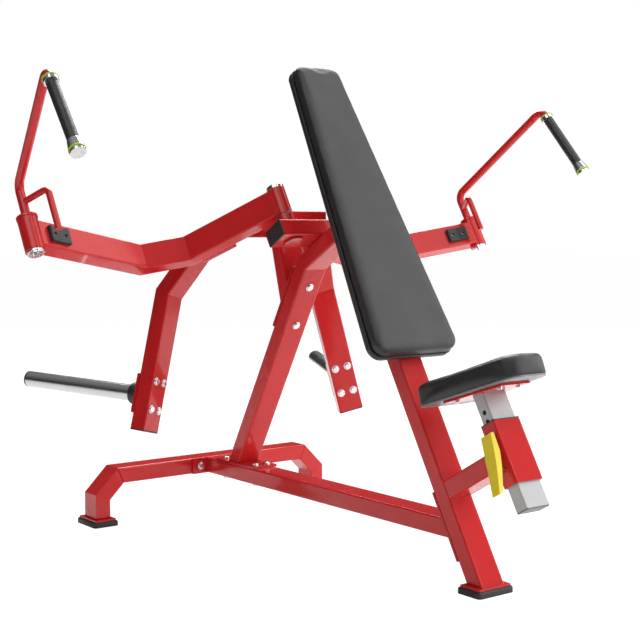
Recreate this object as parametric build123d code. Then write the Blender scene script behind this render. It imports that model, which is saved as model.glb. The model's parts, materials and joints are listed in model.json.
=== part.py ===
from build123d import *
import math
import os

# A plate-loaded chest press with two independent arms. Units are millimetres.
# World frame: +Z up, origin on the floor under the middle of the rear cross tube, the user faces -Y.
# Post frame: X as in the world, Y is the run (square to the front post, rearwards and down),
# Z is the rise (along the front post). The arms, pivots, handles, back pad and seat post follow it.

# Rectangular tube shared by the whole frame
TUBE_W = 80
TUBE_T = 50
WALL = 3
CORNER = 5
LEAN = 30

# Base
FOOT_TOP = 22
BASE_TOP = 177
BASE_HALF = 445
CHAMFER = 78
PLATE_T = 8
FOOT_PLATE = 6
POST_FOOT_Y = -1273.6
MIDDLE_Y = -653

# Post frame stations: (run, rise) of what the frame carries
HEAD_TOP = 1072
POST_TOP = 1260
CROSS_RUN = 117
CROSS_HALF = 170
PIVOT_X = 117
ARM_BOTTOM = 1159
ARM_TOP = ARM_BOTTOM + TUBE_W
ARM_MID = (ARM_BOTTOM + ARM_TOP) / 2

# Arms: three straight tubes, headings measured from +X towards the rear
ARM_HEADINGS = (60, 20, -20)
ARM_LENGTHS = (322, 150, 424)
WEAR_SPAN = (188, 300)
WEAR_T = 15
SHAFT_R = 15
PIVOT_SLEEVE_R = 26
HANDLE_SLEEVE_R = 27.5
FIT = 0.05
GAP = 0.4

# Weight leg and horn, hung behind the inner arm tube
LEG_SIDE = TUBE_T / 2 + TUBE_W / 2
LEG_ALONG = 459
LEG_CORNER_RISE = 1134
LEG_LOWER = 418
LEG_TILT = 30
LEG_UPPER_TILT = 60
LEG_END = 304
HORN_UP = 106
HORN_R = 25
HORN_REACH = 465
COLLAR_R = 33
COLLAR_T = 32
NECK_R = 24.4

# Handles
BAR_R = 12.5
HANDLE_YAW = 8.9
HANDLE_PITCH = 10
HANDLE_CORNER = 1355
HANDLE_REACH = 430
HANDLE_DROP = 273
BEND_R = 30
STOP_R = 9
STOP_REACH = 87
STOP_YAW = 29
STOP_TOP = 1301
STOP_END = 1176

# Seat
SEAT_RUN = -276
SEAT_TILT = 19
SEAT_RISE = 411
SLEEVE_W = 92
SLEEVE_D = 52
SLEEVE_RISE = (161, 325)
POST_W = 80
POST_D = 40
HOLE_PITCH = 25
HOLE_TOP = 356
LOCK_RISE = 206
LEVER_RISE = 252
LEVER_X = 61
LEVER_PIN_R = 3

POST_FRAME = Location((0, POST_FOOT_Y, FOOT_TOP), (-LEAN, 0, 0))
GROUND = Plane.XY.offset(FOOT_TOP)


def save(node, part):
    part = Compound(children=part) if isinstance(part, list) else part
    part = part.moved(Location((0, -MIDDLE_Y, 0)))
    part.label = node
    export_step(part, f"parts/{node}.step")


def tilted(part):
    return part.moved(POST_FRAME)


def mirrored(part):
    return mirror(part, about=Plane.YZ)


def heading(angle):
    return Vector(math.cos(math.radians(angle)), math.sin(math.radians(angle)), 0)


def tube(width, depth, length, wall=WALL, corner=CORNER):
    outer = RectangleRounded(width, depth, corner)
    inner = RectangleRounded(width - 2 * wall, depth - 2 * wall, corner - wall)
    return extrude(outer - inner, length)


def rod(radius, start, end, bore=0.0):
    axis = Vector(*end) - Vector(*start)
    plane = Plane(origin=start, z_dir=axis)
    ring = Circle(radius) - Circle(bore) if bore else Circle(radius)
    return extrude(plane * ring, axis.length)


def post_rod(radius, x, run, low, high, bore=0.0):
    return rod(radius, (x, run, low), (x, run, high), bore)


def disc(radius, height, edge, bore=0.0):
    """A disc standing on Z 0 with its top edge rounded."""
    body = extrude(Circle(radius), height)
    body = fillet(body.edges().group_by(Axis.Z)[-1], edge)
    return body - extrude(Circle(bore), height) if bore else body


def slab(x, y, z):
    """A box given by its low and high X, Y and Z."""
    size = [high - low for low, high in (x, y, z)]
    middle = [(high + low) / 2 for low, high in (x, y, z)]
    return Pos(*middle) * Box(*size)


def keep_above(part, plane):
    return split(part, bisect_by=plane, keep=Keep.TOP)


# ---------------------------------------------------------------- base
def base_side(offset):
    """Half of the base outline in XZ, set in from the outer skin by offset."""
    cut = offset * math.tan(math.radians(22.5))
    return [
        (BASE_HALF - offset, FOOT_TOP),
        (BASE_HALF - offset, BASE_TOP - CHAMFER - cut),
        (BASE_HALF - CHAMFER - cut, BASE_TOP - offset),
    ]


def base_profile(low, high):
    return Polygon(*base_side(low), *reversed(base_side(high)), align=None)


def rear_leg():
    y = TUBE_W / 2
    outer = extrude(Plane.XZ.offset(-y) * base_profile(0, TUBE_T), 2 * y)
    inner = extrude(Plane.XZ.offset(-y + WALL) * base_profile(WALL, TUBE_T - WALL), 2 * (y - WALL))
    end = Plane(origin=(BASE_HALF - CHAMFER, 0, BASE_TOP), z_dir=(math.cos(math.radians(22.5)), 0,
                -math.sin(math.radians(22.5))))
    long_edges = outer.edges().filter_by(lambda e: abs(e.center().Y) > y - 1)
    return keep_above(fillet(long_edges, 4), end) - inner


def rear_cross_tube():
    length = 2 * (BASE_HALF - CHAMFER)
    bar = Plane(origin=(-length / 2, 0, BASE_TOP - TUBE_T / 2), x_dir=(0, 1, 0), z_dir=(1, 0, 0)) * tube(
        TUBE_W, TUBE_T, length)
    for side in (-1, 1):
        normal = (-side * math.cos(math.radians(22.5)), 0, math.sin(math.radians(22.5)))
        bar = keep_above(bar, Plane(origin=(side * (BASE_HALF - CHAMFER), 0, BASE_TOP), z_dir=normal))
    return bar


def foot_places():
    rear = BASE_HALF - TUBE_T / 2
    post = POST_FOOT_Y - TUBE_T / math.cos(math.radians(LEAN)) / 2
    return [(-rear, 0, 0), (rear, 0, 0), (0, post, 90)]


def rubber_foot():
    body = extrude(RectangleRounded(84, 124, 10), 16)
    return fillet(body.edges().group_by(Axis.Z)[-1], 5)


def base_parts():
    leg = rear_leg()
    save("rear_cross_tube", rear_cross_tube())
    save("rear_legs", [leg, mirrored(leg)])
    plates, feet = [], []
    for x, y, turn in foot_places():
        place = Pos(x, y, 0) * Rot(0, 0, turn)
        plates.append(place * Pos(0, 0, FOOT_TOP - FOOT_PLATE / 2) * Box(70, 110, FOOT_PLATE))
        feet.append(place * rubber_foot())
    save("foot_plates", plates)
    save("rubber_feet", feet)


BEAM_REAR = -TUBE_W / 2 - PLATE_T
BEAM_MID = BASE_TOP - TUBE_T / 2
UPRIGHT_REAR = -167
UPRIGHT_T = TUBE_T / math.cos(math.radians(LEAN))
BASE_BOLT_X = 22
BASE_BOLT_Y = (-134, -300)
FLANGE_BOLT_X = 66
JOINT_BOLT_RISE = (84, 226)
BRACE_BOLTS = (560, 695)


def base_beam():
    length = BEAM_REAR - POST_FOOT_Y + 200
    bar = Plane(origin=(0, BEAM_REAR, BEAM_MID), x_dir=(1, 0, 0), z_dir=(0, -1, 0)) * tube(
        TUBE_W, TUBE_T, length)
    bar = keep_above(bar, Plane(POST_FRAME * Location((0, 6, 0), (-90, 0, 0))))
    for x in (-BASE_BOLT_X, BASE_BOLT_X):
        for y in BASE_BOLT_Y:
            bar -= rod(6.3, (x, y, BASE_TOP - 60), (x, y, BASE_TOP + 10))
    return bar


def joint_plates():
    flange = slab((-95, 95), (BEAM_REAR, -TUBE_W / 2), (BASE_TOP - TUBE_T, BASE_TOP))
    flange -= [rod(6.3, (x, BEAM_REAR - 1, BEAM_MID), (x, -30, BEAM_MID))
               for x in (-FLANGE_BOLT_X, FLANGE_BOLT_X)]
    sole = slab((-45, 45), (-322, -112), (BASE_TOP, BASE_TOP + PLATE_T))
    sole -= [rod(6.3, (x, y, BASE_TOP - 1), (x, y, BASE_TOP + 20))
             for x in (-BASE_BOLT_X, BASE_BOLT_X) for y in BASE_BOLT_Y]
    post_plate = slab((-40, 40), (0, 6), (60, 250))
    post_plate -= [rod(5.3, (x, -1, rise), (x, 10, rise)) for x in (-24, 24) for rise in JOINT_BOLT_RISE]
    brace_plate = UPRIGHT_BACK * slab((-40, 40), (0, PLATE_T), (525, 735))
    brace_plate -= [UPRIGHT_BACK * rod(6.3, (0, -1, s), (0, 20, s)) for s in BRACE_BOLTS]
    return [flange, sole, tilted(post_plate), brace_plate]


def hex_nut(radius, height):
    return extrude(RegularPolygon(radius, 6), height)


def bolt(shank, length, head=1.7, grip_nut=True):
    """Domed bolt along -Z with its washer seated at Z 0 and a nut at the far end."""
    washer = extrude(Circle(shank * 2.1), 2)
    cap = Pos(0, 0, 2) * disc(shank * head, shank * 0.8, shank * 0.5)
    stem = Pos(0, 0, -length) * extrude(Circle(shank), length)
    body = washer + cap + stem
    if grip_nut:
        body += Pos(0, 0, -length) * hex_nut(shank * 1.8, shank * 1.1)
    return body


# Frame on the upright's rear face: Y is out of the face, Z runs up the upright
UPRIGHT_BACK = Location((0, UPRIGHT_REAR, BASE_TOP), (LEAN, 0, 0))


def upright():
    bar = UPRIGHT_BACK * Pos(0, -TUBE_T / 2, -100) * tube(TUBE_W, TUBE_T, 1100)
    bar = keep_above(bar, Plane.XY.offset(BASE_TOP + PLATE_T))
    bar -= [UPRIGHT_BACK * rod(6.3, (0, -60, s), (0, 20, s)) for s in BRACE_BOLTS]
    return split(bar, bisect_by=Plane(HEAD_MITRE), keep=Keep.BOTTOM)


def head_start():
    """Post-frame (run, rise) where the upright's front face meets the head tube's underside."""
    front = POST_FRAME.inverse() * Location((0, UPRIGHT_REAR - UPRIGHT_T, BASE_TOP))
    run, rise = front.position.Y, front.position.Z
    climb = (HEAD_TOP - TUBE_T - rise) / math.sin(math.radians(LEAN))
    return run - climb * math.cos(math.radians(LEAN)), HEAD_TOP - TUBE_T


HEAD_MITRE = POST_FRAME * Location((0, *head_start()), (90 - LEAN / 2, 0, 0))


def head_tube():
    bar = POST_FRAME * Plane(origin=(0, 0, HEAD_TOP - TUBE_T / 2), x_dir=(1, 0, 0), z_dir=(0, 1, 0)).location
    bar = bar * tube(TUBE_W, TUBE_T, 400)
    return keep_above(bar, Plane(HEAD_MITRE))


def front_post():
    bar = Pos(0, -TUBE_T / 2, -60) * tube(TUBE_W, TUBE_T, POST_TOP + 60)
    for rise in JOINT_BOLT_RISE:
        bar -= [rod(5.3, (x, -10, rise), (x, 10, rise)) for x in (-24, 24)]
    return keep_above(tilted(bar), GROUND)


BRACE_LEAN = 15
BRACE_FOOT = 605
STOP_Z = (902, 982)
STOP_HALF = 138


def brace_frame():
    """Stands on the brace plate, Z up the brace, Y to its rear face."""
    foot = UPRIGHT_BACK * Location((0, PLATE_T, BRACE_FOOT))
    return Location(foot.position, (-BRACE_LEAN, 0, 0))


def brace_tube():
    bar = brace_frame() * Pos(0, -TUBE_T / 2, -200) * tube(TUBE_W, TUBE_T, 600)
    bar = keep_above(bar, Plane(UPRIGHT_BACK * Location((0, PLATE_T, 0), (-90, 0, 0))))
    return split(bar, bisect_by=Plane.XY.offset(STOP_Z[0]), keep=Keep.BOTTOM)


def stop_bar_y():
    top = brace_frame()
    climb = (STOP_Z[0] - top.position.Z) * math.tan(math.radians(BRACE_LEAN))
    return top.position.Y + climb - TUBE_T / 2


def stop_bar():
    place = Plane(origin=(-STOP_HALF, stop_bar_y(), sum(STOP_Z) / 2), x_dir=(0, 1, 0), z_dir=(1, 0, 0))
    return place * tube(TUBE_T, TUBE_W, 2 * STOP_HALF)


def stop_bumper():
    """Rubber block on the bar's end, cut to lie 0.5 mm off the arm's rear face."""
    y = stop_bar_y()
    block = slab((STOP_HALF, STOP_HALF + 60), (y - 22, y + 22), (STOP_Z[0] + 8, STOP_Z[1] - 8))
    middle = Vector(PIVOT_X, CROSS_RUN, 0) + Vector(-heading(ARM_HEADINGS[0] - 90)) * (TUBE_T / 2 + WEAR_T + 0.5)
    face = Plane(origin=tuple(middle), z_dir=tuple(-heading(ARM_HEADINGS[0] - 90)))
    return keep_above(block, Plane(POST_FRAME * face.location))


def cross_tube():
    place = Plane(origin=(-CROSS_HALF, CROSS_RUN, HEAD_TOP + TUBE_T / 2), x_dir=(0, 1, 0), z_dir=(1, 0, 0))
    bar = place * tube(TUBE_W, TUBE_T, 2 * CROSS_HALF)
    bar -= [post_rod(28, x, CROSS_RUN, HEAD_TOP - 5, HEAD_TOP + 60) for x in (-PIVOT_X, PIVOT_X)]
    return bar


def plug(width, depth, thick=4, deep=20):
    """Plastic end plug: a lip of the tube's outer size and a hollow spigot, lip on +Z."""
    lip = extrude(RectangleRounded(width, depth, CORNER), thick)
    lip = fillet(lip.edges().group_by(Axis.Z)[-1], 1.5)
    inner = RectangleRounded(width - 2 * WALL - 0.4, depth - 2 * WALL - 0.4, 1.8)
    core = RectangleRounded(width - 2 * WALL - 6, depth - 2 * WALL - 6, 1)
    return lip + Pos(0, 0, -deep) * extrude(inner - core, deep)


def frame_end_caps():
    caps = []
    for side in (-1, 1):
        place = Plane(origin=(side * CROSS_HALF, CROSS_RUN, HEAD_TOP + TUBE_T / 2), x_dir=(0, 1, 0),
                      z_dir=(side, 0, 0))
        caps.append(tilted(place * plug(TUBE_W, TUBE_T)))
    caps.append(tilted(Pos(0, -TUBE_T / 2, POST_TOP) * plug(TUBE_W, TUBE_T)))
    return caps


def pivot_parts():
    housings, shafts, bushings = [], [], []
    bottom, top = ARM_BOTTOM - 2, ARM_TOP + 2
    for x in (-PIVOT_X, PIVOT_X):
        housing = post_rod(28, x, CROSS_RUN, HEAD_TOP - 6, bottom - 4)
        housing -= post_rod(SHAFT_R, x, CROSS_RUN, HEAD_TOP - 1, bottom - 4)
        housings.append(tilted(housing))
        shaft = post_rod(SHAFT_R, x, CROSS_RUN, HEAD_TOP - 1, top + GAP)
        head = Pos(x, CROSS_RUN, top + GAP) * disc(25.5, 11, 2.5)
        shafts.append(tilted(shaft + head))
        low = post_rod(27, x, CROSS_RUN, bottom - 4, bottom - GAP, SHAFT_R)
        low += post_rod(22 - FIT, x, CROSS_RUN, bottom - GAP, bottom + 24, SHAFT_R)
        high = post_rod(22 - FIT, x, CROSS_RUN, top - 24, top, SHAFT_R)
        bushings += [tilted(low), tilted(high)]
    save("pivot_housings", housings)
    save("pivot_shafts", shafts)
    save("pivot_bushings", bushings)


def frame_bolts():
    bolts = []
    for x in (-BASE_BOLT_X, BASE_BOLT_X):
        for y in BASE_BOLT_Y:
            bolts.append(Pos(x, y, BASE_TOP + PLATE_T) * bolt(6, PLATE_T + TUBE_T + 8))
    for x in (-FLANGE_BOLT_X, FLANGE_BOLT_X):
        bolts.append(Location((x, BEAM_REAR, BEAM_MID), (90, 0, 0)) * bolt(6, PLATE_T, grip_nut=False))
    for s in BRACE_BOLTS:
        front = UPRIGHT_BACK * Location((0, -TUBE_T, s), (90, 0, 0))
        bolts.append(front * bolt(6, TUBE_T + PLATE_T + 8))
    for x in (-24, 24):
        for rise in JOINT_BOLT_RISE:
            bolts.append(tilted(Location((x, 6, rise), (-90, 0, 0)) * bolt(5, 9, grip_nut=False)))
    return bolts


def frame_parts():
    save("base_beam", base_beam())
    save("joint_plates", joint_plates())
    save("front_post", front_post())
    save("upright", upright())
    save("head_tube", head_tube())
    save("brace_tube", brace_tube())
    save("stop_bar", stop_bar())
    bumper = stop_bumper()
    save("stop_bumpers", [bumper, mirrored(bumper)])
    save("cross_tube", tilted(cross_tube()))
    save("frame_end_caps", frame_end_caps())
    pivot_parts()
    save("frame_bolts", frame_bolts())


# ---------------------------------------------------------------- back pad
PAD_RISE = (608, 1538)
PAD_HALF = (150, 80)
PAD_LAYERS = (-106, -70, -51)


def pad_outline(inset=0.0, radius=38):
    (low, high), (wide, narrow) = PAD_RISE, PAD_HALF
    corners = [(-wide + inset, low + inset), (wide - inset, low + inset),
               (narrow - inset, high - inset), (-narrow + inset, high - inset)]
    return fillet(Polygon(*corners, align=None).vertices(), radius)


def pad_layer(front, rear, inset=0.0, edge=0.0):
    """A layer of the back pad between two runs, its front edge rounded."""
    layer = extrude(Plane.XZ.offset(-rear) * pad_outline(inset), rear - front)
    if edge:
        layer = fillet(layer.edges().group_by(Axis.Y)[0], edge)
    return tilted(layer)


def back_parts():
    front, middle, rear = PAD_LAYERS
    save("back_pad", pad_layer(front, middle - 0.3, edge=12))
    board = pad_layer(middle, rear - 0.2, inset=3)
    save("back_board", board)


# ---------------------------------------------------------------- seat
def seat_bracket():
    place = Plane(origin=(0, -TUBE_T, 237), x_dir=(1, 0, 0), z_dir=(0, -1, 0))
    return tilted(place * tube(TUBE_W, TUBE_T, -SEAT_RUN - SLEEVE_D / 2 - TUBE_T))


def lever_pin(radius):
    return rod(radius, (-LEVER_X, SEAT_RUN - 18.5, LEVER_RISE), (-LEVER_X, SEAT_RUN + 18.5, LEVER_RISE))


def seat_sleeve():
    low, high = SLEEVE_RISE
    body = Pos(0, SEAT_RUN, low) * tube(SLEEVE_W, SLEEVE_D, high - low)
    side = -SLEEVE_W / 2
    body -= rod(7.3, (side - 10, SEAT_RUN, LOCK_RISE), (side + 10, SEAT_RUN, LOCK_RISE))
    lug = slab((-LEVER_X - 6, side), (SEAT_RUN - 7, SEAT_RUN + 7), (LEVER_RISE - 9, LEVER_RISE + 9))
    lug = fillet(lug.edges().filter_by(Axis.Y).group_by(Axis.X)[0], 5)
    body += lug - lever_pin(LEVER_PIN_R)
    return tilted(body)


def sleeve_liner():
    low, high = SLEEVE_RISE
    outer = RectangleRounded(SLEEVE_W - 2 * WALL, SLEEVE_D - 2 * WALL, 2)
    bore = RectangleRounded(POST_W + 0.2, POST_D + 0.2, 3.9)
    body = Pos(0, SEAT_RUN, low + 1) * extrude(outer - bore, high - low - 1)
    flange = RectangleRounded(SLEEVE_W, SLEEVE_D, CORNER) - bore
    body += Pos(0, SEAT_RUN, high) * extrude(flange, 3)
    body -= rod(7.3, (-SLEEVE_W, SEAT_RUN, LOCK_RISE), (-POST_W / 2 + 5, SEAT_RUN, LOCK_RISE))
    return tilted(body)


SEAT_FRAME = POST_FRAME * Location((0, SEAT_RUN, SEAT_RISE), (LEAN - SEAT_TILT, 0, 0))
SEAT_LENGTH = (-168, 170)
SEAT_HALF = (72, 108)
SEAT_THICK = 60
CARRIER_LENGTH = (-100, 84)
CARRIER_HALF = (50, 80)
CARRIER_T = 6
SEAT_BOLTS = [(-34, -76), (34, -76), (-52, 64), (52, 64)]


def seat_post():
    bar = Pos(0, SEAT_RUN, 96) * tube(POST_W, POST_D, 400, corner=4)
    for n in range(8):
        rise = HOLE_TOP - n * HOLE_PITCH
        bar -= rod(6.3, (-POST_W, SEAT_RUN, rise), (-POST_W / 2 + 6, SEAT_RUN, rise))
    bar = tilted(bar)
    return split(bar, bisect_by=Plane(SEAT_FRAME * Location((0, 0, -CARRIER_T))),
                 keep=Keep.BOTTOM)


def seat_carrier():
    """Tapered plate under the cushion, welded to the post's head."""
    (front, rear), (narrow, wide) = CARRIER_LENGTH, CARRIER_HALF
    outline = Polygon((-narrow, front), (narrow, front), (wide, rear), (-wide, rear), align=None)
    plate = Pos(0, 0, -CARRIER_T) * extrude(outline, CARRIER_T)
    return SEAT_FRAME * (plate - [rod(4.3, (x, y, -20), (x, y, 20)) for x, y in SEAT_BOLTS])


def seat_pad():
    (front, rear), (narrow, wide) = SEAT_LENGTH, SEAT_HALF
    corners = [(-narrow, front), (narrow, front), (wide, rear), (-wide, rear)]
    outline = Polygon(*corners, align=None)
    outline = fillet(outline.vertices().group_by(Axis.Y)[0], 55)
    outline = fillet(outline.vertices().group_by(Axis.Y)[-1], 35)
    pad = Pos(0, 0, 0.3) * extrude(outline, SEAT_THICK)
    pad = fillet(pad.edges().group_by(Axis.Z)[-1], 12)
    return SEAT_FRAME * (pad - [rod(4.4, (x, y, -1), (x, y, 26)) for x, y in SEAT_BOLTS])


def seat_bolts():
    return [SEAT_FRAME * Location((x, y, -CARRIER_T), (180, 0, 0)) * bolt(4, 25, grip_nut=False)
            for x, y in SEAT_BOLTS]


def seat_parts():
    save("seat_bracket", seat_bracket())
    save("seat_sleeve", seat_sleeve())
    save("sleeve_liner", sleeve_liner())
    save("seat_post", seat_post())
    cap = Location((0, SEAT_RUN, 96), (180, 0, 0)) * plug(POST_W, POST_D, thick=3)
    save("seat_post_cap", tilted(cap))
    save("seat_carrier", seat_carrier())
    save("seat_pad", seat_pad())
    save("seat_bolts", seat_bolts())


# ---------------------------------------------------------------- seat lever and lock pin
def seat_lever():
    """Rocker on a lug of the sleeve, pivoting front to rear; its foot flares out for the fingers."""
    skin = [(-53, 298), (-64.5, 297), (-73.5, 255), (-85, 207), (-104, 142), (-90, 147), (-68, 205),
            (-55, 250)]
    body = extrude(Plane.XZ.offset(-SEAT_RUN - 19) * Polygon(*skin, align=None), 38)
    taper = Polygon((-19, 320), (-19, 235), (-13, 130), (13, 130), (19, 235), (19, 320), align=None)
    body &= extrude(Plane(origin=(0, SEAT_RUN, 0), x_dir=(0, 1, 0), z_dir=(1, 0, 0)) * taper, 150, both=True)
    body = fillet(body.edges().filter_by(Axis.Y), 2)
    body -= lever_pin(LEVER_PIN_R + FIT)
    body -= slab((-70, 0), (SEAT_RUN - 7.6, SEAT_RUN + 7.6), (LEVER_RISE - 13, LEVER_RISE + 13))
    return body - slab((-82, 0), (SEAT_RUN - 10, SEAT_RUN + 10), (LOCK_RISE - 12, LOCK_RISE + 12))


def lever_parts():
    save("seat_lever", tilted(seat_lever()))
    save("lever_pivot_pin", tilted(lever_pin(LEVER_PIN_R)))
    lock = rod(6, (-76, SEAT_RUN, LOCK_RISE), (-POST_W / 2 - 0.4, SEAT_RUN, LOCK_RISE))
    lock += rod(8, (-80, SEAT_RUN, LOCK_RISE), (-75, SEAT_RUN, LOCK_RISE))
    save("lock_pin", tilted(lock))


# ---------------------------------------------------------------- arms
def arm_nodes():
    point = Vector(PIVOT_X, CROSS_RUN, 0)
    points = [point]
    for angle, length in zip(ARM_HEADINGS, ARM_LENGTHS):
        point = point + heading(angle) * length
        points.append(point)
    return points


HANDLE_X, HANDLE_RUN = arm_nodes()[-1].X, arm_nodes()[-1].Y
INNER = heading(ARM_HEADINGS[0])
REARWARD = heading(ARM_HEADINGS[0] + 90)


def leg_place(along, rise, side=LEG_SIDE):
    """A point beside the inner arm tube: along it, at a rise, side millimetres behind its centreline."""
    return Vector(PIVOT_X, CROSS_RUN, rise) + INNER * along + REARWARD * side


def leg_direction(tilt):
    """Down the leg: away from the pivot axis by tilt."""
    return INNER * math.sin(math.radians(tilt)) - Vector(0, 0, 1) * math.cos(math.radians(tilt))


LEG_DOWN = leg_direction(LEG_TILT)
LEG_BEND = leg_place(LEG_ALONG, LEG_CORNER_RISE)
LEG_FOOT = LEG_BEND + LEG_DOWN * LEG_LOWER
HORN_ROOT = LEG_FOOT - LEG_DOWN * HORN_UP
HORN_AXIS = leg_direction(LEG_TILT + 90)
ARM_BOLTS = [(x, y) for x in (-21, 21) for y in (-42, 42)]


def horn_plane(out):
    """X across the leg, Y down it, Z out along the horn."""
    return Plane(origin=HORN_ROOT + HORN_AXIS * out, x_dir=-REARWARD, z_dir=HORN_AXIS)


def arm_tube():
    nodes = arm_nodes()
    arm = None
    for n, (angle, length) in enumerate(zip(ARM_HEADINGS, ARM_LENGTHS)):
        start = nodes[n] + Vector(0, 0, ARM_MID) - heading(angle) * 60
        place = Plane(origin=start, x_dir=(0, 0, 1), z_dir=heading(angle))
        piece = place * tube(TUBE_W, TUBE_T, length + 120)
        if n > 0:
            bisector = heading((angle + ARM_HEADINGS[n - 1]) / 2)
            piece = keep_above(piece, Plane(origin=nodes[n], z_dir=bisector))
        if n < 2:
            bisector = heading((angle + ARM_HEADINGS[n + 1]) / 2)
            piece = keep_above(piece, Plane(origin=nodes[n + 1], z_dir=-bisector))
        arm = piece if arm is None else arm + piece
    inner_end = Plane(origin=nodes[0], z_dir=INNER)
    outer_end = Plane(origin=nodes[3], z_dir=-heading(ARM_HEADINGS[2]))
    arm = keep_above(keep_above(arm, inner_end), outer_end)
    arm -= post_rod(PIVOT_SLEEVE_R, PIVOT_X, CROSS_RUN, ARM_BOTTOM - 9, ARM_TOP + 9)
    arm -= post_rod(HANDLE_SLEEVE_R, HANDLE_X, HANDLE_RUN, ARM_BOTTOM - 9, ARM_TOP + 9)
    wear = Plane(origin=leg_place(WEAR_SPAN[0], ARM_BOTTOM, TUBE_T / 2), x_dir=INNER, z_dir=(0, 0, 1))
    return arm + wear * slab((0, WEAR_SPAN[1] - WEAR_SPAN[0]), (0, WEAR_T), (0, TUBE_W))


def leg_body(inset):
    """The leg's outline: a lower and an upper length, trimmed flush with the arm tube's top."""
    shape = RectangleRounded(TUBE_W - 2 * inset, TUBE_T - 2 * inset, max(CORNER - inset, 1))
    up = leg_direction(LEG_UPPER_TILT)
    mitre = leg_direction((LEG_TILT + LEG_UPPER_TILT) / 2)
    lower = extrude(Plane(origin=LEG_FOOT, x_dir=REARWARD, z_dir=-LEG_DOWN) * shape, LEG_LOWER + 80)
    upper = extrude(Plane(origin=LEG_BEND + up * 80, x_dir=REARWARD, z_dir=-up) * shape, 330)
    upper = keep_above(keep_above(upper, Plane(origin=LEG_BEND, z_dir=-mitre)),
                       Plane(origin=leg_place(LEG_END + inset, ARM_BOTTOM), z_dir=INNER))
    upper = split(upper, bisect_by=Plane.XY.offset(ARM_TOP - inset), keep=Keep.BOTTOM)
    return keep_above(lower, Plane(origin=LEG_BEND, z_dir=mitre)) + upper


def arm_leg():
    leg = leg_body(0) - leg_body(WALL)
    for x, y in ARM_BOLTS:
        leg -= horn_plane(-60) * Pos(x, y, 0) * Cylinder(6.3, 200)
    return leg


def horn_parts():
    flange = horn_plane(TUBE_T / 2) * extrude(RectangleRounded(TUBE_W, 120, 6), PLATE_T)
    for x, y in ARM_BOLTS:
        flange -= horn_plane(0) * Pos(x, y, 0) * Cylinder(6.3, 200)
    root = TUBE_T / 2 + PLATE_T
    start = root + COLLAR_T + 2
    horn = horn_plane(root) * extrude(Circle(NECK_R) - Circle(HORN_R - 4), start - root)
    horn += horn_plane(start) * extrude(Circle(HORN_R) - Circle(HORN_R - 4), HORN_REACH - start - 6)
    bumper = horn_plane(root) * disc(COLLAR_R, COLLAR_T, 6, bore=NECK_R)
    cap = horn_plane(HORN_REACH - 6) * disc(HORN_R, 6, 2.5)
    cap += horn_plane(HORN_REACH - 26) * extrude(Circle(HORN_R - 4.2), 20)
    leg_cap = Plane(origin=LEG_FOOT, x_dir=REARWARD, z_dir=LEG_DOWN) * plug(TUBE_W, TUBE_T)
    return {"horn_flange": flange, "weight_horn": horn, "horn_bumper": bumper,
            "end_caps": [cap, leg_cap]}


# The catch block sits on the outer tube's front face, inboard of the handle sleeve
CATCH_ALONG = 75
CATCH_RISE = (ARM_BOTTOM + 16, ARM_BOTTOM + 62)
CATCH_DEEP = 13
CATCH_HALF = 35.5
VEE = 5
CATCH_SCREW = 23


def catch_plane():
    outward = heading(ARM_HEADINGS[2])
    forward = heading(ARM_HEADINGS[2] - 90)
    origin = arm_nodes()[-1] - outward * CATCH_ALONG + forward * (TUBE_T / 2)
    return Plane(origin=origin, x_dir=outward, z_dir=(0, 0, 1))


def catch_block():
    """Rubber block with a shallow vee for the stop rod; -Y is out of the arm's front face."""
    face = [(CATCH_HALF, 0), (-CATCH_HALF, 0), (-CATCH_HALF, -CATCH_DEEP), (0, -CATCH_DEEP + VEE),
            (CATCH_HALF, -CATCH_DEEP)]
    block = extrude(Polygon(*face, align=None), CATCH_RISE[1] - CATCH_RISE[0])
    block = chamfer(block.edges().filter_by(Axis.Z).group_by(Axis.Y)[0], 3)
    block -= [Pos(x, 0, CATCH_SCREW) * Rot(90, 0, 0) * Cylinder(4.5, 60) for x in (-19, 19)]
    return catch_plane() * Pos(0, 0, CATCH_RISE[0]) * block


def arm_bolts():
    bolts = []
    for x, y in ARM_BOLTS:
        seat = Plane(origin=horn_plane(-TUBE_T / 2).from_local_coords((x, y, 0)), x_dir=-REARWARD,
                     z_dir=-HORN_AXIS)
        bolts.append(seat * bolt(6, TUBE_T + PLATE_T, grip_nut=False)
                     + seat * Pos(0, 0, -TUBE_T - PLATE_T - 7) * hex_nut(10.5, 7))
    for x in (-19, 19):
        screw = Pos(x, 0, CATCH_RISE[0] + CATCH_SCREW) * Rot(90, 0, 0) * extrude(Circle(4.2), 5)
        bolts.append(catch_plane() * screw)
    return bolts


def arm_sleeves():
    pivot = post_rod(PIVOT_SLEEVE_R, PIVOT_X, CROSS_RUN, ARM_BOTTOM - 2, ARM_TOP + 2, 22)
    handle = post_rod(HANDLE_SLEEVE_R, HANDLE_X, HANDLE_RUN, ARM_BOTTOM - 8, ARM_TOP + 9, BAR_R + FIT)
    return [pivot, handle]


def handle_plane():
    """X forward along the handle, Z up, origin on the swivel axis at rise 0."""
    forward = heading(HANDLE_YAW - 90)
    return Plane(origin=(HANDLE_X, HANDLE_RUN, 0), x_dir=forward, z_dir=(0, 0, 1))


def bar_corners():
    pitch = math.radians(HANDLE_PITCH)
    top = (HANDLE_REACH * math.cos(pitch), HANDLE_CORNER + HANDLE_REACH * math.sin(pitch))
    end = (top[0] + HANDLE_DROP * math.sin(pitch), top[1] - HANDLE_DROP * math.cos(pitch))
    return (0, HANDLE_CORNER), top, end


def along_grip(distance):
    """Point on the handle's drop, measured down from the top corner, in the handle plane."""
    (_, _), top, end = bar_corners()
    share = distance / HANDLE_DROP
    return Vector(top[0] + (end[0] - top[0]) * share, 0, top[1] + (end[1] - top[1]) * share)


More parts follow.
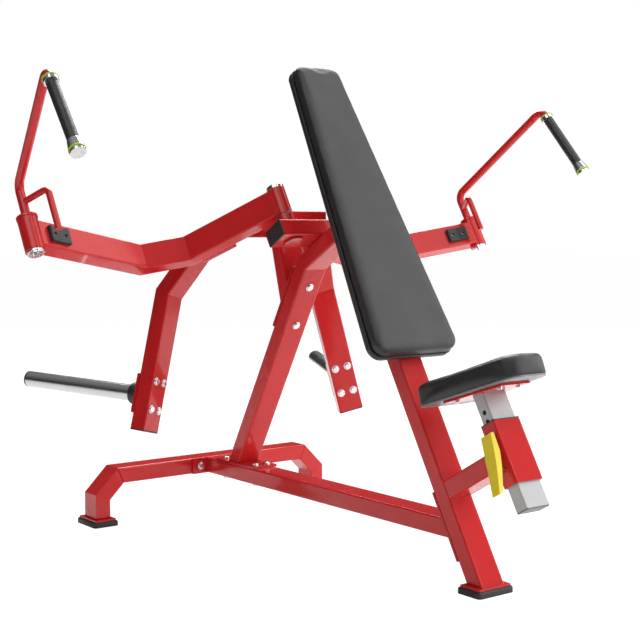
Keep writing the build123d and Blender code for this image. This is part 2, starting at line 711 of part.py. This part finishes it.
def bent_rod(radius, corners, bend):
    path = FilletPolyline(*[(x, 0, z) for x, z in corners], radius=bend)
    return sweep(Plane(origin=path @ 0, z_dir=path % 0) * Circle(radius), path=path)


def handle_bar():
    corner, top, end = bar_corners()
    bar = bent_rod(BAR_R, [(0, ARM_BOTTOM - 14), corner, top, end], BEND_R)
    disc = post_rod(29, 0, 0, ARM_TOP + 9 + GAP, ARM_TOP + 17)
    turn = Rot(0, 0, -HANDLE_YAW - STOP_YAW)
    stop = bent_rod(STOP_R, [(8, STOP_TOP), (STOP_REACH, STOP_TOP), (STOP_REACH, STOP_END)], 18)
    return handle_plane() * (bar + disc + turn * stop)


def handle_retainer():
    low = ARM_BOTTOM - 14
    washer = post_rod(24, 0, 0, low, ARM_BOTTOM - 8 - GAP, BAR_R)
    washer += post_rod(21, 0, 0, low - 4, low)
    return handle_plane() * (washer + Pos(0, 0, low - 10) * hex_nut(9, 6))


GRIP_SPAN = (45, 240)


def grip_ring(start, end, radius, bore=BAR_R):
    low, high = along_grip(start), along_grip(end)
    return handle_plane() * rod(radius, tuple(low), tuple(high), bore)


def grip_fittings():
    """Steel collar above the rubber, flared sleeve below it and the disc that closes the bar."""
    first, last = GRIP_SPAN
    low = along_grip(last)
    down = Plane(origin=low, z_dir=along_grip(HANDLE_DROP) - low)
    flare = handle_plane() * down * Pos(0, 0, 13) * Cone(17, 21, 26)
    flare -= grip_ring(last - 1, HANDLE_DROP, BAR_R, bore=0.0)
    closing = grip_ring(HANDLE_DROP, HANDLE_DROP + 6, 20, bore=0.0)
    return [grip_ring(first - 11.5, first, 20), flare, closing]


def grip_rings():
    first, last = GRIP_SPAN
    return [grip_ring(first - 14.5, first - 11.5, 21.5), grip_ring(last + 26, last + 30, 21.5)]


def arm_parts():
    arm = {"arm_tube": arm_tube(), "arm_leg": arm_leg(), "arm_sleeves": arm_sleeves(),
           "catch_block": catch_block(), "arm_bolts": arm_bolts()}
    arm.update(horn_parts())
    first, last = GRIP_SPAN
    arm["handle_bar"] = handle_bar()
    arm["handle_retainer"] = handle_retainer()
    arm["handle_grip"] = grip_ring(first, last, 15.5)
    arm["grip_fittings"] = grip_fittings()
    arm["grip_rings"] = grip_rings()
    for name, part in arm.items():
        solids = part if isinstance(part, list) else [part]
        save(f"left_{name}", [tilted(solid) for solid in solids])
        save(f"right_{name}", [mirrored(tilted(solid)) for solid in solids])


os.makedirs("parts", exist_ok=True)
base_parts()
frame_parts()
back_parts()
seat_parts()
lever_parts()
arm_parts()
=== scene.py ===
import bpy
import bmesh
import json
import math
import numpy as np
from mathutils import Vector, Matrix


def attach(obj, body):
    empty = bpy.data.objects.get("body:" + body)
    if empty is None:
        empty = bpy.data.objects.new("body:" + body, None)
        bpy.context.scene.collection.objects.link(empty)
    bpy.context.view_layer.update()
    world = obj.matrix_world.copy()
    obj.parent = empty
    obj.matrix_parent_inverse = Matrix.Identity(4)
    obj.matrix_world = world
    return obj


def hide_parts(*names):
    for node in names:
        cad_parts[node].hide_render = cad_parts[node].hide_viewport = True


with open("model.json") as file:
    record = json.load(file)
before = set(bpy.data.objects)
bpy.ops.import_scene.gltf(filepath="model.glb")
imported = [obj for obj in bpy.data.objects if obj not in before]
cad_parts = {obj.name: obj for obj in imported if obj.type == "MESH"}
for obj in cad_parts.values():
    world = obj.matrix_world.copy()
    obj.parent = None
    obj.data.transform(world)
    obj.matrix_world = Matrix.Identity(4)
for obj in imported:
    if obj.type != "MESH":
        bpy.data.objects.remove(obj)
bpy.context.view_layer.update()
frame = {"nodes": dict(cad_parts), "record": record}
nodes = frame["nodes"]
scene = bpy.context.scene

# ---------------------------------------------------------------- places
# Metres. The origin is on the floor under the middle of the machine.
REAR_TUBE_Y = 0.653
POST_FOOT = (0, REAR_TUBE_Y - 1.2736, 0.022)
POST_RAKE = math.radians(-30)
SEAT_BASE = (0, -0.276, 0.411)
SEAT_TILT = math.radians(11)
# Post frame: X as in the world, run (Y) square to the front post, rise (Z) along it
POST = Matrix.Translation(POST_FOOT) @ Matrix.Rotation(POST_RAKE, 4, "X")
# Both pads are drawn flat: outline in XY, thickness in Z, the user's side up
SEAT = POST @ Matrix.Translation(SEAT_BASE) @ Matrix.Rotation(SEAT_TILT, 4, "X")
BACK = POST @ Matrix.Rotation(math.radians(90), 4, "X")


# ---------------------------------------------------------------- node helpers
def material(name):
    m = bpy.data.materials.new(name)
    m.use_nodes = True
    tree = m.node_tree
    return m, tree, tree.nodes["Principled BSDF"]


def add(tree, kind, inputs=None, **props):
    n = tree.nodes.new(kind)
    for key, value in props.items():
        setattr(n, key, value)
    for key, value in (inputs or {}).items():
        if hasattr(value, "is_linked"):
            tree.links.new(value, n.inputs[key])
        else:
            n.inputs[key].default_value = value
    return n


def noise(tree, scale, detail=3.0, rough=0.55, stretch=None):
    coords = add(tree, "ShaderNodeTexCoord").outputs["Object"]
    if stretch:
        coords = add(tree, "ShaderNodeMapping", {"Vector": coords, "Scale": stretch}).outputs[0]
    return add(tree, "ShaderNodeTexNoise", {"Vector": coords, "Scale": scale, "Detail": detail,
                                            "Roughness": rough}).outputs["Fac"]


def ramp(tree, value, low, high, start=0.3, end=0.7):
    return add(tree, "ShaderNodeMapRange", {"Value": value, "From Min": start, "From Max": end,
                                            "To Min": low, "To Max": high}).outputs["Result"]


def blend_colour(tree, fac, a, b):
    n = add(tree, "ShaderNodeMix", data_type="RGBA")
    if hasattr(fac, "is_linked"):
        tree.links.new(fac, n.inputs[0])
    else:
        n.inputs[0].default_value = fac
    for socket, colour in ((n.inputs[6], a), (n.inputs[7], b)):
        if hasattr(colour, "is_linked"):
            tree.links.new(colour, socket)
        else:
            socket.default_value = (*colour, 1)
    return n.outputs[2]


def bump(tree, height, strength, distance, normal=None):
    inputs = {"Height": height, "Strength": strength, "Distance": distance}
    if normal:
        inputs["Normal"] = normal
    return add(tree, "ShaderNodeBump", inputs).outputs["Normal"]


def scaled(tree, value, factor):
    return add(tree, "ShaderNodeMath", {0: value, 1: factor}, operation="MULTIPLY").outputs[0]


def softened_normal(tree, radius):
    """The surface normal with sharp edges rounded over this radius."""
    return add(tree, "ShaderNodeBevel", {"Radius": radius}, samples=4).outputs["Normal"]


def edge_mask(tree, soft):
    """1 on a sharp edge, where the softened normal leaves the true one, and 0 on a flat face."""
    true = add(tree, "ShaderNodeNewGeometry").outputs["Normal"]
    facing = add(tree, "ShaderNodeVectorMath", {0: soft, 1: true}, operation="DOT_PRODUCT")
    return ramp(tree, facing.outputs["Value"], 1.0, 0.0, start=0.80, end=0.995)


# ---------------------------------------------------------------- materials
def paint(name, colour, deep, edge_highlight):
    """Powder coat under gloss lacquer: faint mottle, orange peel and a painted highlight on the sharp edges.
    """
    m, tree, bsdf = material(name)
    soft = softened_normal(tree, radius=0.0016)
    mottle = noise(tree, 9.0, detail=2.0)
    base = blend_colour(tree, ramp(tree, mottle, 0.0, 1.0), colour, deep)
    # Painted highlight: sharp edges are blended towards a lighter red, standing in for light caught on them
    highlight_here = scaled(tree, edge_mask(tree, soft), 0.30)
    tree.links.new(blend_colour(tree, highlight_here, base, edge_highlight), bsdf.inputs["Base Color"])
    tree.links.new(ramp(tree, noise(tree, 12.0), low=0.23, high=0.28), bsdf.inputs["Roughness"])
    bsdf.inputs["Specular IOR Level"].default_value = 0.15
    bsdf.inputs["Coat Weight"].default_value = 0.45
    bsdf.inputs["Coat Roughness"].default_value = 0.06
    peel = noise(tree, 300.0, detail=1.0)
    tree.links.new(bump(tree, peel, strength=0.02, distance=0.0002, normal=soft), bsdf.inputs["Normal"])
    return m


def metal(name, colour, rough, grain, metallic=1.0):
    """Drawn or turned steel: fine lines along the part and uneven polish."""
    m, tree, bsdf = material(name)
    soft = softened_normal(tree, radius=0.0008)
    lines = noise(tree, 1.0, detail=2.0, rough=0.6, stretch=grain)
    dark = tuple(c * 0.92 for c in colour)
    tree.links.new(blend_colour(tree, ramp(tree, lines, 0.0, 0.6), colour, dark), bsdf.inputs["Base Color"])
    haze = ramp(tree, noise(tree, 14.0, detail=2.0), low=rough * 0.9, high=rough * 1.12)
    tree.links.new(haze, bsdf.inputs["Roughness"])
    bsdf.inputs["Metallic"].default_value = metallic
    tree.links.new(bump(tree, lines, strength=0.015, distance=0.0001, normal=soft), bsdf.inputs["Normal"])
    return m


def moulded(name, colour, light, rough, grain=1500.0, depth=0.12, coat=0.0):
    """Rubber or plastic from a mould: fine spark texture, soft edges and a painted highlight on those edges.
    """
    m, tree, bsdf = material(name)
    soft = softened_normal(tree, radius=0.0012)
    base = blend_colour(tree, ramp(tree, noise(tree, 45.0, detail=4.0), 0.0, 1.0), colour, light)
    # Painted highlight: sharp edges are blended towards a much lighter copy of the plastic's colour
    highlight_share = scaled(tree, edge_mask(tree, soft), 0.45)
    highlight_colour = tuple(min(1.0, c * 1.7 + 0.02) for c in light)
    tree.links.new(blend_colour(tree, highlight_share, base, highlight_colour), bsdf.inputs["Base Color"])
    tree.links.new(ramp(tree, noise(tree, 90.0), rough - 0.06, rough + 0.08), bsdf.inputs["Roughness"])
    bsdf.inputs["Coat Weight"].default_value = coat
    bsdf.inputs["Coat Roughness"].default_value = 0.15
    spark = noise(tree, grain, detail=1.0)
    tree.links.new(bump(tree, spark, strength=depth, distance=0.0001, normal=soft), bsdf.inputs["Normal"])
    return m


def leather(name, colour, light, rough=0.42):
    """Coated upholstery cloth: pebbled cells a millimetre or two across, broken up by finer creases, with
    painted shade in the valleys between the cells.
    """
    m, tree, bsdf = material(name)
    coords = add(tree, "ShaderNodeTexCoord").outputs["Object"]
    wobble = add(tree, "ShaderNodeTexNoise", {"Vector": coords, "Scale": 260.0, "Detail": 2.0})
    reach = (0.0012, 0.0012, 0.0012)
    shifted = add(tree, "ShaderNodeVectorMath", {0: wobble.outputs["Color"], 1: reach},
                  operation="MULTIPLY").outputs["Vector"]
    where = add(tree, "ShaderNodeVectorMath", {0: coords, 1: shifted}, operation="ADD").outputs["Vector"]
    cells = add(tree, "ShaderNodeTexVoronoi", {"Vector": where, "Scale": 620.0},
                feature="DISTANCE_TO_EDGE").outputs["Distance"]
    grain = ramp(tree, cells, 0.0, 1.0, start=0.0, end=0.22)
    fine = ramp(tree, noise(tree, 2600.0, detail=2.0), low=0.0, high=0.35)
    height = add(tree, "ShaderNodeMath", {0: grain, 1: fine}, operation="ADD").outputs[0]
    patch = ramp(tree, noise(tree, 7.0, detail=4.0), 0.0, 1.0)
    base = blend_colour(tree, patch, colour, light)
    # Painted shade: the valleys between the pebbled cells are darkened in the base colour
    dark = tuple(c * 0.62 for c in colour)
    tree.links.new(blend_colour(tree, grain, dark, base), bsdf.inputs["Base Color"])
    tree.links.new(ramp(tree, noise(tree, 16.0), rough - 0.05, rough + 0.07), bsdf.inputs["Roughness"])
    bsdf.inputs["Specular IOR Level"].default_value = 0.6
    tree.links.new(bump(tree, height, strength=0.28, distance=0.0005), bsdf.inputs["Normal"])
    return m


def board(name, colour, light):
    """Painted plywood under a pad: long grain showing through."""
    m, tree, bsdf = material(name)
    lines = noise(tree, 1.0, detail=5.0, rough=0.6, stretch=(260, 12, 260))
    tree.links.new(blend_colour(tree, ramp(tree, lines, 0.0, 1.0), colour, light), bsdf.inputs["Base Color"])
    tree.links.new(ramp(tree, noise(tree, 40.0), low=0.30, high=0.45), bsdf.inputs["Roughness"])
    tree.links.new(bump(tree, lines, strength=0.15, distance=0.0003), bsdf.inputs["Normal"])
    return m


# Each red: the film, its deeper mottle and the painted highlight on an edge
RED = ((0.57, 0.018, 0.019), (0.54, 0.016, 0.017), (0.68, 0.08, 0.07))
PLATE_RED = ((0.53, 0.015, 0.017), (0.50, 0.013, 0.015), (0.66, 0.08, 0.07))
MATERIALS = {
    "frame_paint": paint("gloss_red", *RED),
    "plate_paint": paint("plate_red", *PLATE_RED),
    "black_rubber": moulded("black_rubber", (0.016, 0.016, 0.017), (0.026, 0.026, 0.027), 0.5),
    "black_plastic": moulded("black_plastic", (0.018, 0.018, 0.019), (0.028, 0.028, 0.030), 0.36,
                             depth=0.08),
    "bright_steel": metal("bright_steel", (0.80, 0.80, 0.81), 0.16, grain=(500, 500, 500)),
    "dark_bushing": moulded("dark_bushing", (0.03, 0.03, 0.032), (0.05, 0.05, 0.052), 0.34),
    "horn_chrome": metal("horn_chrome", (0.62, 0.62, 0.63), 0.22, grain=(40, 40, 900)),
    "seat_post_silver": metal("post_silver", (0.46, 0.46, 0.465), 0.42, grain=(300, 20, 20),
                              metallic=0.35),
    "grey_plastic": moulded("grey_plastic", (0.10, 0.10, 0.105), (0.14, 0.14, 0.145), 0.4),
    "yellow_plastic": moulded("yellow_plastic", (0.82, 0.64, 0.030), (0.86, 0.68, 0.040), 0.33, depth=0.05,
                              coat=0.3),
    "green_plastic": moulded("green_plastic", (0.36, 0.62, 0.03), (0.42, 0.70, 0.05), 0.35, depth=0.05,
                             coat=0.3),
    "upholstery": leather("charcoal_leather", (0.017, 0.017, 0.018), (0.021, 0.021, 0.022)),
}
GRIP = moulded("grip_rubber", (0.020, 0.020, 0.021), (0.030, 0.030, 0.031), 0.42, grain=900.0,
               depth=0.25)
SEAT_RED = paint("carrier_red", *RED)
BOARD = board("under_board", (0.16, 0.16, 0.165), (0.22, 0.22, 0.225))
PIPING = leather("piping_leather", (0.020, 0.020, 0.021), (0.030, 0.030, 0.031), rough=0.38)

OWN = {"left_handle_grip": GRIP, "right_handle_grip": GRIP, "seat_carrier": SEAT_RED}
for part in frame["record"]["subparts"]:
    node = nodes[part["node"]]
    finish = OWN.get(part["node"], MATERIALS[part["material_slot"]])
    node.data.materials.clear()
    node.data.materials.append(finish)


# ---------------------------------------------------------------- meshes
def rounded(corners, radii, steps=10):
    """Outline of a polygon with each corner rounded, as a list of 2D points."""
    points = []
    for i, radius in enumerate(radii):
        here = Vector(corners[i])
        before = (Vector(corners[i - 1]) - here).normalized()
        after = (Vector(corners[(i + 1) % len(corners)]) - here).normalized()
        half = before.angle(after) / 2
        centre = here + (before + after).normalized() * radius / math.sin(half)
        a = here + before * radius / math.tan(half) - centre
        b = here + after * radius / math.tan(half) - centre
        turn = a.angle_signed(b)
        for k in range(steps + 1):
            t = -turn * k / steps
            points.append(centre + Vector((a.x * math.cos(t) - a.y * math.sin(t),
                                           a.x * math.sin(t) + a.y * math.cos(t))))
    return points


def inset(points, distance):
    """The same outline moved inwards."""
    out = []
    for i, p in enumerate(points):
        along = (points[(i + 1) % len(points)] - points[i - 1]).normalized()
        out.append(p + Vector((-along.y, along.x)) * distance)
    return out


def shade_smooth(o):
    o.data.polygons.foreach_set("use_smooth", [True] * len(o.data.polygons))
    o.data.update()


def finish_object(name, bm, place, finish):
    """Turns a bmesh into a smooth-shaded object, set in place."""
    mesh = bpy.data.meshes.new(name)
    bm.to_mesh(mesh)
    bm.free()
    mesh.transform(place)
    mesh.materials.append(finish)
    o = bpy.data.objects.new(name, mesh)
    scene.collection.objects.link(o)
    shade_smooth(o)
    return o


def lofted(name, outline, levels, place, finish):
    """A closed slab: levels are (height, inset) rings from the bottom up, capped flat at both ends."""
    bm = bmesh.new()
    rings = [[bm.verts.new((p.x, p.y, height)) for p in inset(outline, depth)] for height, depth in levels]
    for low, high in zip(rings, rings[1:]):
        for i in range(len(low)):
            j = (i + 1) % len(low)
            bm.faces.new((low[i], low[j], high[j], high[i]))
    bm.faces.new(list(reversed(rings[0])))
    bm.faces.new(rings[-1])
    bmesh.ops.recalc_face_normals(bm, faces=bm.faces)
    return finish_object(name, bm, place, finish)


def edge_levels(low, high, top_radius, bottom_radius=0.001, steps=5):
    """Rings of a slab with rounded top and bottom edges."""
    rings = []
    for k in range(steps + 1):
        t = math.pi / 2 * k / steps
        rings.append((low + bottom_radius * (1 - math.cos(t)), bottom_radius * (1 - math.sin(t))))
    for k in range(steps + 1):
        t = math.pi / 2 * k / steps
        rings.append((high - top_radius * (1 - math.sin(t)), top_radius * (1 - math.cos(t))))
    return rings


def tube_along(name, points, radius, place, finish, sides=8):
    """A closed cord of round section that follows a loop of 3D points."""
    bm = bmesh.new()
    up = Vector((0, 0, 1))
    rings = []
    for i, p in enumerate(points):
        along = (points[(i + 1) % len(points)] - points[i - 1]).normalized()
        out = along.cross(up).normalized()
        turns = [2 * math.pi * k / sides for k in range(sides)]
        rings.append([bm.verts.new(p + (out * math.cos(t) + up * math.sin(t)) * radius) for t in turns])
    for i in range(len(rings)):
        a, b = rings[i], rings[(i + 1) % len(rings)]
        for k in range(sides):
            bm.faces.new((a[k], a[(k + 1) % sides], b[(k + 1) % sides], b[k]))
    bmesh.ops.recalc_face_normals(bm, faces=bm.faces)
    return finish_object(name, bm, place, finish)


def apply_modifiers(o):
    graph = bpy.context.evaluated_depsgraph_get()
    mesh = bpy.data.meshes.new_from_object(o.evaluated_get(graph))
    o.modifiers.clear()
    o.data = mesh


def stuff(o, place, pinned_below, cap, voxel=0.005, frames=20, pressure=4.0):
    """Blows the cover up with cloth, held along its base, by no more than the cap, then smooths it."""
    remesh = o.modifiers.new("remesh", "REMESH")
    remesh.mode = "VOXEL"
    remesh.voxel_size = voxel
    apply_modifiers(o)
    into = place.inverted()
    start = np.array([into @ v.co for v in o.data.vertices])
    group = o.vertex_groups.new(name="held")
    group.add([i for i, p in enumerate(start) if p[2] < pinned_below], 1.0, "REPLACE")
    cloth = o.modifiers.new("cloth", "CLOTH")
    cloth.settings.use_pressure = True
    cloth.settings.uniform_pressure_force = pressure
    cloth.settings.effector_weights.gravity = 0.0
    cloth.settings.vertex_group_mass = "held"
    cloth.settings.quality = 5
    cloth.point_cache.frame_start = 1
    cloth.point_cache.frame_end = frames
    for f in range(1, frames + 1):
        scene.frame_set(f)
    apply_modifiers(o)
    scene.frame_set(1)
    moved = np.array([into @ v.co for v in o.data.vertices]) - start
    length = np.linalg.norm(moved, axis=1, keepdims=True)
    moved *= np.minimum(1.0, cap / np.maximum(length, 1e-9))
    start = start + moved
    for v, p in zip(o.data.vertices, start):
        v.co = place @ Vector(p)
    smooth = o.modifiers.new("smooth", "CORRECTIVE_SMOOTH")
    smooth.iterations = 6
    smooth.use_only_smooth = True
    divide = o.modifiers.new("divide", "SUBSURF")
    divide.levels = divide.render_levels = 1
    apply_modifiers(o)
    shade_smooth(o)


# ---------------------------------------------------------------- back pad
BACK_LOW = 0.608
BACK_HIGH = 1.538
BACK_HALF_LOW = 0.150
BACK_HALF_HIGH = 0.080
BACK_CORNER = 0.038
# Heights of the layers, forwards from the post frame's zero run
SHELL_REAR = 0.0515
SHELL_FRONT = 0.0698
WELT_HEIGHT = 0.0704
WELT_RADIUS = 0.0016
CUSHION_REAR = 0.0712
CUSHION_FRONT = 0.1045
# How far inside the pads' outlines each cover starts
COVER_INSET = 0.0015
SHELL_INSET = 0.001
WELT_INSET = 0.0022

BACK_CORNERS = [(-BACK_HALF_LOW, BACK_LOW), (BACK_HALF_LOW, BACK_LOW),
                (BACK_HALF_HIGH, BACK_HIGH), (-BACK_HALF_HIGH, BACK_HIGH)]
back_outline = rounded(BACK_CORNERS, [BACK_CORNER] * 4)
cushion = lofted("back_cushion", inset(back_outline, COVER_INSET),
                 edge_levels(CUSHION_REAR, CUSHION_FRONT, top_radius=0.010, bottom_radius=0.002),
                 BACK, MATERIALS["upholstery"])
stuff(cushion, BACK, pinned_below=CUSHION_REAR + 0.0013, cap=0.003)
shell = lofted("back_shell", inset(back_outline, SHELL_INSET),
               edge_levels(SHELL_REAR, SHELL_FRONT, top_radius=0.004, bottom_radius=0.006),
               BACK, MATERIALS["upholstery"])
welt_route = [Vector((p.x, p.y, WELT_HEIGHT)) for p in inset(back_outline, WELT_INSET)]
welt = tube_along("back_welt", welt_route, WELT_RADIUS, BACK, PIPING)
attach(cushion, "frame")
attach(shell, "frame")
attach(welt, "frame")
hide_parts("back_pad")
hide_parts("back_board")

# ---------------------------------------------------------------- seat pad
SEAT_FRONT = -0.168
SEAT_REAR = 0.170
SEAT_HALF_FRONT = 0.072
SEAT_HALF_REAR = 0.108
SEAT_CORNER_FRONT = 0.055
SEAT_CORNER_REAR = 0.035
# Heights of the layers above the carrier plate
UNDER_BOTTOM = 0.0006
UNDER_TOP = 0.0050
SEAT_BOTTOM = 0.0028
SEAT_TOP = 0.0590
UNDER_INSET = 0.004

SEAT_CORNERS = [(-SEAT_HALF_FRONT, SEAT_FRONT), (SEAT_HALF_FRONT, SEAT_FRONT),
                (SEAT_HALF_REAR, SEAT_REAR), (-SEAT_HALF_REAR, SEAT_REAR)]
seat_radii = [SEAT_CORNER_FRONT, SEAT_CORNER_FRONT, SEAT_CORNER_REAR, SEAT_CORNER_REAR]
seat_outline = rounded(SEAT_CORNERS, seat_radii, steps=14)
seat = lofted("seat_cushion", inset(seat_outline, COVER_INSET),
              edge_levels(SEAT_BOTTOM, SEAT_TOP, top_radius=0.010, bottom_radius=0.0015),
              SEAT, MATERIALS["upholstery"])
stuff(seat, SEAT, pinned_below=SEAT_BOTTOM + 0.0032, cap=0.004)
under = lofted("seat_board", inset(seat_outline, UNDER_INSET),
               edge_levels(UNDER_BOTTOM, UNDER_TOP, top_radius=0.001, bottom_radius=0.0008), SEAT, BOARD)
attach(seat, "seat")
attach(under, "seat")
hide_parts("seat_pad")

# ---------------------------------------------------------------- floor
FLOOR_HALF = 40
FLOOR_DROP = -0.0005    # just under the rubber feet
FLOOR_PALE = (0.86, 0.86, 0.86)
FLOOR_PALER = (0.88, 0.88, 0.88)
FLOOR_GLOW = 1.2
FLOOR_GLOW_SHARE = 0.8

floor_finish, tree, bsdf = material("pale_floor")
clouds = ramp(tree, noise(tree, 1.5), 0.0, 1.0)
tree.links.new(blend_colour(tree, clouds, FLOOR_PALE, FLOOR_PALER), bsdf.inputs["Base Color"])
bsdf.inputs["Roughness"].default_value = 0.7
bsdf.inputs["Specular IOR Level"].default_value = 0.2
glow = add(tree, "ShaderNodeEmission", {"Strength": FLOOR_GLOW}).outputs[0]
share = scaled(tree, add(tree, "ShaderNodeLightPath").outputs["Is Camera Ray"], FLOOR_GLOW_SHARE)
lit = add(tree, "ShaderNodeMixShader", {0: share, 1: bsdf.outputs[0], 2: glow}).outputs[0]
tree.links.new(lit, tree.nodes["Material Output"].inputs["Surface"])
floor_grid = bmesh.new()
bmesh.ops.create_grid(floor_grid, x_segments=8, y_segments=8, size=FLOOR_HALF)
floor = finish_object("floor", floor_grid, Matrix.Translation((0, 0, FLOOR_DROP)), floor_finish)

# ---------------------------------------------------------------- light
CAMERA_SIDE = 232
LIGHT_TARGET = Vector((0, 0.05, 0.7))
# The dome's strength; the camera itself sees it plain white
HORIZON = 0.04
ZENITH = 0.30

world = bpy.data.worlds.new("studio")
scene.world = world
world.use_nodes = True
sky = world.node_tree
backdrop = sky.nodes["Background"]
backdrop.inputs["Color"].default_value = (1, 1, 1, 1)
up = add(sky, "ShaderNodeSeparateXYZ", {"Vector": add(sky, "ShaderNodeTexCoord").outputs["Generated"]})
dome = ramp(sky, up.outputs["Z"], HORIZON, ZENITH, start=0.3, end=1.0)
seen = add(sky, "ShaderNodeLightPath").outputs["Is Camera Ray"]
strength = add(sky, "ShaderNodeMix", {0: seen, 2: dome, 3: 1.0}, data_type="FLOAT")
sky.links.new(strength.outputs[0], backdrop.inputs["Strength"])


def soft_light(name, turn, climb, power, size=3.0, distance=5.0):
    """A square softbox aimed at the machine; turn is measured from the camera's side, both in degrees."""
    a, e = math.radians(CAMERA_SIDE + turn), math.radians(climb)
    outward = Vector((math.cos(a) * math.cos(e), math.sin(a) * math.cos(e), math.sin(e)))
    data = bpy.data.lights.new(name, "AREA")
    data.size = size
    data.energy = power
    o = bpy.data.objects.new(name, data)
    scene.collection.objects.link(o)
    o.location = LIGHT_TARGET + distance * outward
    o.rotation_euler = (-outward).to_track_quat("-Z", "Y").to_euler()


soft_light("key", -20, 50, 70)
soft_light("right_low", 110, 15, 75)
soft_light("right_high", 110, 50, 50)
soft_light("side", 60, 15, 100)
soft_light("side_high", 60, 50, 45)
soft_light("rear", 180, 50, 330)

# ---------------------------------------------------------------- camera
CAMERA_PLACE = (-2.27216, REAR_TUBE_Y - 3.58823, 0.91287)
CAMERA_TURN = (86.12821, 0.09825, -37.33994)
CAMERA_LENS = 71.70
CAMERA_SENSOR = 36
CAMERA_REACH = 200

camera_data = bpy.data.cameras.new("camera")
camera_data.sensor_width = CAMERA_SENSOR
camera_data.lens = CAMERA_LENS
camera_data.clip_end = CAMERA_REACH
camera = bpy.data.objects.new("camera", camera_data)
scene.collection.objects.link(camera)
camera.location = CAMERA_PLACE
camera.rotation_euler = [math.radians(a) for a in CAMERA_TURN]
scene.camera = camera
scene.view_settings.view_transform = "Standard"
scene.view_settings.look = "None"
